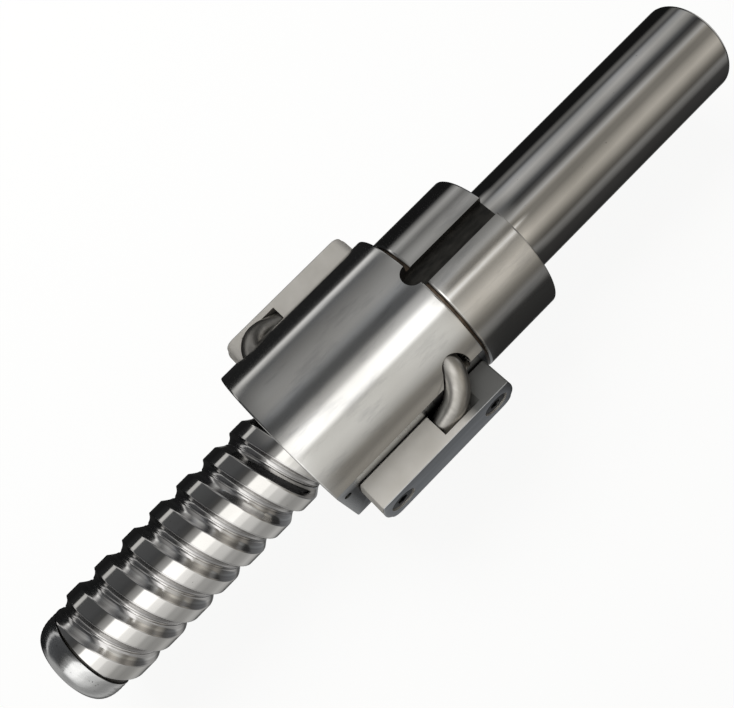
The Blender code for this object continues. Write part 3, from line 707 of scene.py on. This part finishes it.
# What is cut away for one circuit: the flat, the legs' holes and ball passages, room for the tube's
# bends, the tapped holes and the set screw's hole.
def circuitCutters(side):
    p = nutPiece
    left, r, flat = -p["length"], p["radius"], circuit["flat"]
    flatEnd = p["reliefWidth"] / 2
    outline = [(left - overcut, -r), (left - overcut, r), (flatEnd, r), (flatEnd, -r)]
    cutters = [ringPiece("cutFlat", prismRings(outline, -r - overcut, -flat), side)]
    low = circuit["legEnd"] - p["holeSink"]
    for end in (1, -1):
        holeTop = legPoint(r + p["holeReach"], end)
        cutters.append(straightBar("cutLeg", legPoint(low, end), holeTop, p["holeRadius"], side))
        passageEnd = legPoint(circuit["entryHeight"] - p["passageSink"], end)
        cutters.append(straightBar("cutPassage", passageEnd, legPoint(low + overcut, end), circuit["inner"],
                                   side, 32))
    path = tubeLine(circuit["legEnd"], 10)
    for part in (path[:len(path) // 2], path[len(path) // 2:]):
        rings = ringsAlong(part, circuit["outer"] + p["bendGap"], 32)
        caps = [np.broadcast_to(point, rings[:1].shape) for point in (part[0], part[-1])]
        cutters.append(ringPiece("cutBend", np.concatenate([caps[0], rings, caps[1]], 0), side))
    for x in p["tapX"]:
        cutters.append(straightBar("cutTap", (x, -flat + p["tapGrip"], 0), (x, -flat - overcut, 0),
                                   p["tapRadius"], side, 32))
    s, c = math.sin(p["setAngle"]), math.cos(p["setAngle"])
    inner, outer = p["seatRadius"] - p["setSink"], 2 * flat / s - p["seatRadius"]
    ends = [(p["setX"], -reach * s, reach * c) for reach in (inner, outer)]
    return cutters + [straightBar("cutSet", *ends, p["setRadius"], side, 32)]


def makeNut():
    p = nutPiece
    left, right, inner = -p["length"], p["bossLength"], p["boss"] * p["faceRing"]
    groove = p["boss"] - p["reliefDepth"]
    outline = [(left, inner), (left, p["radius"]), (0, p["radius"]), (0, groove), (p["reliefWidth"], groove),
               (p["reliefWidth"] + p["reliefSlope"], p["boss"]), (right, p["boss"]), (right, inner)]
    nut = turned("nut", roundedProfile(outline, p["endEdge"]))
    cutters = [nutThreadCutter()]
    for low, high in ((left - overcut, left + p["seatDepth"]), (right - p["seatDepth"], right + overcut)):
        cutters.append(turned("cutSeat", [(low, p["seatRadius"]), (high, p["seatRadius"])], 144))
    cutters.append(keywayCutter())
    for side in (1, -1):
        cutters += circuitCutters(side)
    return carve(nut, cutters)


# Gives the faces that lie on the nut's round surfaces the exact normals of those surfaces.
def roundNormals(piece, radii):
    mesh = piece.data
    place = readValues(mesh.vertices, "co", 3)[readValues(mesh.loops, "vertex_index", kind=int)]
    total = readValues(mesh.polygons, "loop_total", kind=int)
    faceNormal = readValues(mesh.polygons, "normal", 3)[np.repeat(np.arange(len(total)), total)]
    loopNormals = readValues(mesh.corner_normals, "vector", 3)
    distance = np.hypot(place[:, 1], place[:, 2])
    radial = place * [0, 1, 1] / np.maximum(distance, 1e-9)[:, None]
    near, facing = nutPiece["roundMask"]
    for radius in radii:
        on = (np.abs(distance - radius) < near) & (np.sum(radial * faceNormal, 1) > facing)
        loopNormals[on] = radial[on]
    mesh.normals_split_custom_set(loopNormals.tolist())
    return piece


p = nutPiece
nut = roundNormals(shade(makeNut(), 32), (p["radius"], p["boss"], p["boss"] - p["reliefDepth"]))
finishPiece(nut, finishes["nut"], "nut_body", "nut")
centres, normals, distances = faceTable(nut)
faceX = centres[:, 0]
outwards = placed(np.array([[0.0, -1.0, 0.0]]), 1)[0]
near, facing = p["flatMask"]
onFlat = (np.abs(np.abs(centres @ outwards) - circuit["flat"]) < near) & (np.abs(normals @ outwards) > facing)
giveFaces(nut, finishes["flat"], onFlat)
half, floorHeight, endX, within = p["keyMask"]
level, upright = p["keyMaskNormals"]
inKeyway = (np.abs(centres[:, 1]) < half) & (centres[:, 2] > floorHeight) & (faceX > endX)
inKeyway &= (distances < within) & ((normals[:, 2] > level) | (np.abs(normals[:, 2]) < upright))
giveFaces(nut, finishes["scale"], inKeyway)
endX, radius, spread = p["reliefMask"]
giveFaces(nut, finishes["relief"], (faceX > 0) & (faceX < endX) & (np.abs(distances - radius) < spread))
print("nut made:", len(nut.data.polygons), "faces")

# Tube clamps
clampPiece = {
    "length": 0.0472, "width": 0.0142, "height": 0.032842, "ceiling": 0.0308025, "centreX": -0.024,
    "bulge": 0.001, "corners": (0.0005, 0.0030), "edge": 0.00025, "base": 0.0237, "baseEdge": 0.0003,
    "clearance": 0.0004, "headRadius": 0.004, "headDepth": 0.0044, "shankRadius": 0.0023, "faceMask": 0.00001,
}


# The clamp's outline seen from outside: ends bowed as 1 - s^2 between corners that are quarter circles,
# small on the side where the tube goes in and large on the other.
def clampOutline():
    p = clampPiece
    reach, width = p["length"] / 2 - p["bulge"], p["width"] / 2
    upper, lower = p["corners"]
    a = np.linspace(0, math.pi / 2, 9)
    low = np.stack([reach - lower * (1 - np.sin(a)), -(width - lower * (1 - np.cos(a)))], -1)
    s = np.linspace(-1, 1, 17)[1:-1]
    bow = np.stack([reach + p["bulge"] * (1 - s * s), s * (width - np.where(s > 0, upper, lower))], -1)
    high = np.stack([reach - upper * (1 - np.cos(a)), width - upper * (1 - np.sin(a))], -1)
    half = np.vstack([low, bow, high])
    return np.vstack([half, half[::-1] * [-1, 1]]) + [p["centreX"], 0]


# The clamp is its outline at steps of height, drawn in over the edges, with a tunnel for the tube's
# crossing and holes for the two screws cut out of it.
def makeClamp(name, side):
    p = clampPiece
    outline = clampOutline()
    middle = np.broadcast_to([p["centreX"], 0.0], outline.shape)
    inward = (outline - middle) / [p["length"], p["width"]] * 2
    levels = [(middle, p["base"]), (outline - inward * p["baseEdge"], p["base"]),
              (outline, p["base"] + p["baseEdge"])]
    for t in np.linspace(0, math.pi / 2, 5):
        ring = outline - inward * p["edge"] * (1 - math.cos(t))
        levels.append((ring, p["height"] - p["edge"] * (1 - math.sin(t))))
    levels.append((middle, p["height"]))
    clamp = ringPiece(name, flatRings([(ring, -height) for ring, height in levels]), side)
    path = tubeLine(circuit["legEnd"])
    a, b = path[len(path) // 2 - 1], path[len(path) // 2]
    slope = (a[0] - b[0]) / (a[2] - b[2])
    reach = (circuit["outer"] + p["clearance"]) * math.sqrt(1 + slope * slope)
    far, middleX = p["width"] / 2 + overcut, circuit["centreX"]
    tunnel = [(middleX + slope * z + shift, z) for z, shift in ((far, reach), (far, -reach), (-far, -reach),
                                                                (-far, reach))]
    cutters = [ringPiece("cutTunnel", prismRings(tunnel, -p["ceiling"], -p["base"] + overcut), side)]
    top = -p["height"]
    for x in nutPiece["tapX"]:
        cutters.append(straightBar("cutHead", (x, top - overcut, 0), (x, top + p["headDepth"], 0),
                                   p["headRadius"], side, 64))
        cutters.append(straightBar("cutShank", (x, top, 0), (x, -p["base"] + overcut, 0),
                                   p["shankRadius"], side))
    return shade(carve(clamp, cutters), 35)


# Return tubes: outer and inner walls are circles carried along the middle line.
def makeTube(name, side):
    path = tubeLine(circuit["legEnd"])
    walls = [ringsAlong(path, circuit["outer"], 56), ringsAlong(path, circuit["inner"], 56)[::-1]]
    return shade(ringPiece(name, np.concatenate(walls, 0), side, closeRows=True), 40)


# Clamp screws: a socket head turned about y, whose top sinks into a hexagon.
screwHead = {
    "radius": 0.0035, "height": 0.004, "shank": 0.002, "gap": 0.0001, "grip": 0.0043, "edge": 0.0003,
    "underEdge": 0.0001, "across": 0.003, "socketRim": 1.08, "socketEdge": 0.00012, "socketDepth": 0.0022,
    "socketPoint": 0.0004,
}


def makeClampScrew(name, x, side):
    p = screwHead
    under = -clampPiece["height"] + clampPiece["headDepth"] - p["gap"]
    top, end = under - p["height"], -circuit["flat"] + p["grip"]
    socketEnd, rim = top + p["socketDepth"], p["underEdge"]
    a = np.linspace(0, 2 * np.pi, 48, endpoint=False)
    hexagon = hexagonRadii(p["across"], a)
    rings = [(end, 0), (end, p["shank"] - p["edge"]), (end - p["edge"], p["shank"]), (under, p["shank"]),
             (under, p["radius"] - rim), (under - rim, p["radius"])]
    for t in np.linspace(0, math.pi / 2, 5):
        rings.append((top + p["edge"] * (1 - math.sin(t)), p["radius"] - p["edge"] * (1 - math.cos(t))))
    rings += [(top, hexagon * p["socketRim"]), (top + p["socketEdge"], hexagon), (socketEnd, hexagon),
              (socketEnd + p["socketPoint"], 0)]
    points = flatRings([(np.stack([x + r * np.cos(a), r * np.sin(a)], -1), y) for y, r in rings])
    return shade(ringPiece(name, points, side), 30)


for side, word in sides:
    clamp = makeClamp("clamp_" + word, side)
    finishPiece(clamp, finishes["clamp"], "tube_clamp_" + word, "nut")
    centres, normals, distances = faceTable(clamp)
    outerFrom = clampPiece["height"] - clampPiece["edge"] - clampPiece["faceMask"]
    giveFaces(clamp, finishes["clampFace"], (centres @ outwards) * side > outerFrom)
    finishPiece(makeTube("tube_" + word, side), finishes["tube"], "return_tube_" + word, "nut")
    for x, place in zip(nutPiece["tapX"], ("left", "right")):
        head = makeClampScrew("socket_screw_" + word + "_" + place, x, side)
        finishPiece(head, finishes["black"], "clamp_screw_" + word + "_" + place, "nut")
print("circuits made")

# Wipers: a plain ring in each end of the nut, close round the screw.
wiperPiece = {"thickness": 0.0042, "margin": 0.0004, "outer": 0.01865, "clearance": 0.0003, "edge": 0.0004}


def makeWiper(name, low):
    p = wiperPiece
    middle, high = low + p["thickness"] / 2, low + p["thickness"]
    inner = thread["radius"] + p["clearance"]
    outline = [(middle, inner), (low, inner), (low, p["outer"]), (high, p["outer"]), (high, inner),
               (middle, inner)]
    return shade(turned(name, roundedProfile(outline, p["edge"]), 144, closed=True), 40)


for name, seat, node in (("wiper_left", -nutPiece["length"], "wiper_thread_end"),
                         ("wiper_right", nutPiece["bossLength"] - nutPiece["seatDepth"], "wiper_boss_end")):
    wiper = makeWiper(name, seat + wiperPiece["margin"])
    finishPiece(wiper, finishes["wiper"], node, "nut")

# Set screws that hold the wipers: a bar with a hexagon socket, between two distances from the axis.
setScrew = {
    "radius": 0.001, "inner": 0.01885, "recess": 0.00078, "point": 0.8, "pointLength": 0.0002,
    "edge": 0.00015, "top": 0.85, "socket": 0.0009, "across": 0.0009,
}


def makeSetScrew(name, side):
    p = setScrew
    s, c = math.sin(nutPiece["setAngle"]), math.cos(nutPiece["setAngle"])
    outward, along = np.array([0, -s, c]), np.array([1.0, 0, 0])
    inner, outer, radius = p["inner"], circuit["flat"] / s - p["recess"], p["radius"]
    a = np.linspace(0, 2 * np.pi, 24, endpoint=False)
    hexagon = hexagonRadii(p["across"], a)
    rings = [(inner, 0), (inner, radius * p["point"]), (inner + p["pointLength"], radius),
             (outer - p["edge"], radius), (outer, radius * p["top"]), (outer, hexagon),
             (outer - p["socket"], hexagon), (outer - p["socket"], 0)]
    circle = np.cos(a)[:, None] * along + np.sin(a)[:, None] * np.cross(outward, along)
    place = along * nutPiece["setX"]
    points = [outward * h + place + (r * np.ones_like(a))[:, None] * circle for h, r in rings]
    return shade(ringPiece(name, np.array(points), side), 30)


for side, word in sides:
    setScrewPiece = makeSetScrew("set_screw_" + word, side)
    finishPiece(setScrewPiece, finishes["black"], "wiper_set_screw_" + word, "nut")

# Balls: spheres at even steps along a path, each a grid of latitude and longitude.
ballRow = {"pitch": 0.0048, "turns": 1.5, "entry": 0.0058, "startX": -0.0106, "latitudes": 9, "longitudes": 16}


def makeBalls(name, centres, side):
    r = thread["ballRadius"]
    v = np.linspace(0, np.pi, ballRow["latitudes"])[:, None]
    u = np.linspace(0, 2 * np.pi, ballRow["longitudes"], endpoint=False)[None, :]
    ball = np.stack([r * np.sin(v) * np.cos(u), r * np.sin(v) * np.sin(u), r * np.cos(v) + 0 * u], -1)
    grid = gridFaces(ballRow["latitudes"], ballRow["longitudes"])
    size = ballRow["latitudes"] * ballRow["longitudes"]
    points = centres[:, None, :] + ball.reshape(1, -1, 3)
    faces = (np.arange(len(centres))[:, None, None] * size + grid[None]).reshape(-1, 4)
    return shade(meshPiece(name, placed(points, side), faces), 60)


def loadedCentres():
    turnLength = math.hypot(2 * math.pi * thread["ballCircle"], thread["lead"])
    span = (ballRow["turns"] + circuit["legLean"] / math.pi) * turnLength
    count = int(span / ballRow["pitch"]) - 1
    s = (span - (count - 1) * ballRow["pitch"]) / 2 + np.arange(count) * ballRow["pitch"]
    angle = circuit["legLean"] - 2 * np.pi * s / turnLength
    return polarPoints(ballRow["startX"] + thread["lead"] * angle / (2 * np.pi), thread["ballCircle"], angle)


def returnCentres():
    path = tubeLine(ballRow["entry"], 8)
    lengths = np.concatenate([[0], np.cumsum(np.linalg.norm(np.diff(path, axis=0), axis=1))])
    count = int((lengths[-1] - 2 * thread["ballRadius"]) / ballRow["pitch"]) + 1
    s = (lengths[-1] - (count - 1) * ballRow["pitch"]) / 2 + np.arange(count) * ballRow["pitch"]
    return np.stack([np.interp(s, lengths, path[:, k]) for k in range(3)], -1)


# The balls roll round their circuit and always fill the nut's track, so the loaded rows ride on the nut,
# although the solids they replace turn with ball_train.
for side, word in sides:
    loaded = makeBalls("track_balls_" + word, loadedCentres(), side)
    finishPiece(loaded, finishes["ball"], "loaded_balls_" + word, "nut")
    returning = makeBalls("tube_balls_" + word, returnCentres(), side)
    finishPiece(returning, finishes["ball"], "return_balls_" + word, "nut")
print("balls, wipers and set screws made")

# Camera: place, direction and focal length in pixels, solved from the photograph's cylinders and thread
camera = {
    "place": (-0.04056, -0.07906, 0.21961), "right": (0.702889, -0.685082, -0.191338),
    "down": (-0.705926, -0.638863, -0.305816), "forward": (0.08727, 0.350025, -0.932666),
    "focal": 850.0, "frameWidth": 734.0, "sensor": 36.0, "clip": (0.01, 20.0),
}
cameraData = bpy.data.cameras.new("camera")
cameraData.lens = camera["focal"] / camera["frameWidth"] * camera["sensor"]
cameraData.sensor_width = camera["sensor"]
cameraData.clip_start, cameraData.clip_end = camera["clip"]
cameraObject = bpy.data.objects.new("camera", cameraData)
bpy.context.scene.collection.objects.link(cameraObject)
columns = np.eye(4)
columns[:3, 0] = camera["right"]
columns[:3, 1] = -np.array(camera["down"])
columns[:3, 2] = -np.array(camera["forward"])
columns[:3, 3] = camera["place"]
cameraObject.matrix_world = Matrix(columns.tolist())
bpy.context.scene.camera = cameraObject

# Studio: a pale floor and a light tent round the object. The tent glows softly, more above than
# below, in bands that run along the screw, as between the softboxes and flags of a product table.
# Angles are about the screw axis, from the direction of the camera. A stop is (angle, level, tint).
plain, cool, soft, warm = (1.0, 1.0, 0.99), (0.96, 0.99, 1.03), (1.01, 1.0, 0.955), (1.04, 0.99, 0.90)
studio = {
    "facing": 20.6, "floorZ": -0.0268, "floorSize": 3.0, "floorColour": "#f7f7f5",
    "floorWhite": (1, 1, 0.995, 1), "floorShare": 0.92, "worldColour": (1, 1, 1, 1), "worldDim": 0.28,
    "tentRadius": 0.15, "tentX": (-0.6, 0.55),
    "overThread": (
        (-180, 0.3, plain), (-168, 0.02, plain), (-120, 0.015, cool), (-97, 0.03, cool), (-94, 0.8, plain),
        (-86, 0.8, plain), (-83, 0.12, cool), (-48, 0.10, cool), (-38, 0.08, cool), (-26, 0.09, plain),
        (-22, 0.25, plain), (-9, 0.55, plain), (-6, 1.8, plain), (22, 1.8, plain), (25, 1.35, plain),
        (38, 1.25, plain), (41, 0.95, plain), (60, 0.78, plain), (68, 0.5, plain), (76, 0.5, plain),
        (88, 0.40, plain), (104, 0.44, plain), (120, 0.6, plain), (134, 0.5, plain), (150, 0.1, plain),
        (168, 0.2, plain)),
    "overNut": (
        (-180, 0.42, plain), (-164, 0.3, plain), (-152, 0.02, plain), (-110, 0.02, cool), (-102, 0.06, plain),
        (-98, 1.2, plain), (-94, 0.8, plain), (-88, 0.16, cool), (-74, 0.26, plain), (-58, 0.40, plain),
        (-46, 0.46, plain), (-38, 0.38, cool), (-31, 0.14, cool), (-22, 0.13, cool), (-17, 0.55, plain),
        (-9, 0.9, plain), (-4, 2.0, plain), (9, 2.1, plain), (14, 0.9, soft), (28, 0.95, soft),
        (38, 0.85, soft), (46, 0.62, soft), (54, 0.32, warm), (62, 0.26, warm), (70, 0.42, warm),
        (78, 0.36, warm), (90, 0.12, plain), (116, 0.22, cool), (146, 0.3, cool), (160, 0.3, plain)),
    "overBoss": (
        (-180, 0.35, plain), (-164, 0.25, plain), (-152, 0.012, plain), (-107, 0.012, cool),
        (-101, 0.25, plain),
        (-93, 0.55, plain), (-80, 0.22, plain), (-70, 0.42, plain), (-63, 0.5, plain), (-54, 0.34, plain),
        (-40, 0.2, cool), (-24, 0.3, plain), (-16, 0.4, plain), (-9, 0.6, plain), (-4, 0.32, warm),
        (1, 0.2, warm), (5, 0.8, warm), (8, 1.5, plain), (11, 0.7, warm), (15, 0.42, warm), (24, 0.62, warm),
        (32, 0.86, warm), (40, 0.8, warm), (48, 0.52, warm), (56, 0.3, warm), (63, 0.19, warm),
        (72, 0.32, plain), (79, 0.24, plain), (87, 0.05, plain), (148, 0.025, plain), (162, 0.25, plain)),
    "overShaft": (
        (-180, 0.35, plain), (-164, 0.25, plain), (-152, 0.012, plain), (-102, 0.012, cool),
        (-93, 0.18, plain),
        (-88, 0.2, plain), (-80, 0.10, cool), (-72, 0.42, cool), (-60, 0.58, plain), (-48, 0.42, plain),
        (-38, 0.14, cool), (-30, 0.05, cool), (-22, 0.13, plain), (-11, 0.56, plain), (-5, 0.38, warm),
        (1, 0.26, warm), (12, 0.26, warm), (22, 0.44, warm), (36, 0.62, warm), (48, 0.42, warm),
        (58, 0.22, warm), (66, 0.13, warm), (76, 0.28, plain), (86, 0.2, plain), (95, 0.06, plain),
        (148, 0.025, plain), (162, 0.25, plain)),
    "zones": ((-0.068, -0.054), (0.020, 0.030), (0.070, 0.082)), "farSpan": (0.24, 0.32),
    "farColour": (0.02, 0.02, 0.02, 1), "endSpans": ((0.36, 0.44), (-0.30, -0.42)),
    "endColour": (0.55, 0.55, 0.545, 1),
}


# A band of light round the tent: a ramp over the angle, from -180 to 180 degrees, with the given stops.
def bandRamp(tree, share, stops):
    light = addNode(tree, "ValToRGB", {"Fac": share})
    elements = light.node.color_ramp.elements
    while len(elements) > 1:
        elements.remove(elements[-1])
    for number, (angle, level, tint) in enumerate(stops):
        place = (angle + 180) / 360
        element = elements[0] if number == 0 else elements.new(place)
        element.position = place
        element.color = (*[level * c for c in tint], 1)
    return light


# The tent is a closed drum about the screw axis, seen by reflections alone.
def makeTent():
    x = np.linspace(*studio["tentX"], 9)
    tent = turned("light_tent", np.stack([x, np.full(len(x), studio["tentRadius"])], -1), 48)
    material = bpy.data.materials.new("tentGlow")
    material.use_nodes = True
    tree = material.node_tree
    tree.nodes.clear()
    split = addNode(tree, "SeparateXYZ", {"Vector": addNode(tree, "TexCoord", output="Object")}).node.outputs
    facing = math.radians(studio["facing"])
    relative = addNode(tree, "Math", {0: axisAngle(tree, split), 1: facing}, operation="SUBTRACT")
    wrapped = addNode(tree, "Math", {0: relative, 1: math.pi, 2: -math.pi}, operation="WRAP")
    share = addNode(tree, "MapRange", {"Value": wrapped, "From Min": -math.pi, "From Max": math.pi})
    light = bandRamp(tree, share, studio["overThread"])
    for key, span in zip(("overNut", "overBoss", "overShaft"), studio["zones"]):
        light = blend(tree, split["X"], span, light, bandRamp(tree, share, studio[key]))
    light = blend(tree, split["X"], studio["farSpan"], light, studio["farColour"])
    for span in studio["endSpans"]:
        light = blend(tree, split["X"], span, light, studio["endColour"])
    glow = addNode(tree, "Emission", {"Color": light})
    addNode(tree, "OutputMaterial", {"Surface": glow})
    tent.data.materials.append(material)
    tent.visible_camera = False
    tent.visible_shadow = False
    tent.visible_diffuse = False


# One for the rays of the camera, of reflections and of transmission, nought for the rest.
def clearRays(tree):
    rays = addNode(tree, "LightPath").node.outputs
    seen = rays["Is Camera Ray"]
    for key in ("Is Glossy Ray", "Is Transmission Ray"):
        seen = addNode(tree, "Math", {0: seen, 1: rays[key]}, operation="ADD", use_clamp=True)
    return seen


makeTent()

floorPoints = np.array([[-1, -1, 0], [1, -1, 0], [1, 1, 0], [-1, 1, 0]]) * studio["floorSize"]
floor = meshPiece("floor", floorPoints + [0, 0, studio["floorZ"]], np.array([[0, 1, 2, 3]]))
floorMaterial = bpy.data.materials.new("paleFloor")
floorMaterial.use_nodes = True
tree = floorMaterial.node_tree
tree.nodes.clear()
diffuse = addNode(tree, "BsdfDiffuse", {"Color": linear(studio["floorColour"])})
white = addNode(tree, "Emission", {"Color": studio["floorWhite"], "Strength": 1.0})
share = addNode(tree, "Math", {0: clearRays(tree), 1: studio["floorShare"]}, operation="MULTIPLY")
addNode(tree, "OutputMaterial", {"Surface": addNode(tree, "MixShader", {0: share, 1: diffuse, 2: white})})
floor.data.materials.append(floorMaterial)
floor.visible_glossy = False

# One wide soft lamp above, for the shadow and the matt surfaces
softLamp = {"size": 0.4, "power": 2.4, "place": (-0.04, 0.3, 0.45)}
lampData = bpy.data.lights.new("softLamp", "AREA")
lampData.shape = "DISK"
lampData.size = softLamp["size"]
lampData.energy = softLamp["power"]
lamp = bpy.data.objects.new("softLamp", lampData)
lamp.location = softLamp["place"]
lamp.rotation_euler = (-math.atan2(softLamp["place"][1], softLamp["place"][2]), 0, 0)
lamp.visible_glossy = False
bpy.context.scene.collection.objects.link(lamp)

# World: plain white to the camera and to reflections, and dim to the rest
world = bpy.data.worlds.new("studioRoom")
bpy.context.scene.world = world
world.use_nodes = True
tree = world.node_tree
tree.nodes.clear()
dim, plainWhite = (addNode(tree, "Background", {"Color": studio["worldColour"], "Strength": strength})
                   for strength in (studio["worldDim"], 1.0))
worldMix = addNode(tree, "MixShader", {0: clearRays(tree), 1: dim, 2: plainWhite})
addNode(tree, "OutputWorld", {"Surface": worldMix})
bpy.context.scene.view_settings.view_transform = "Standard"
print("studio made")
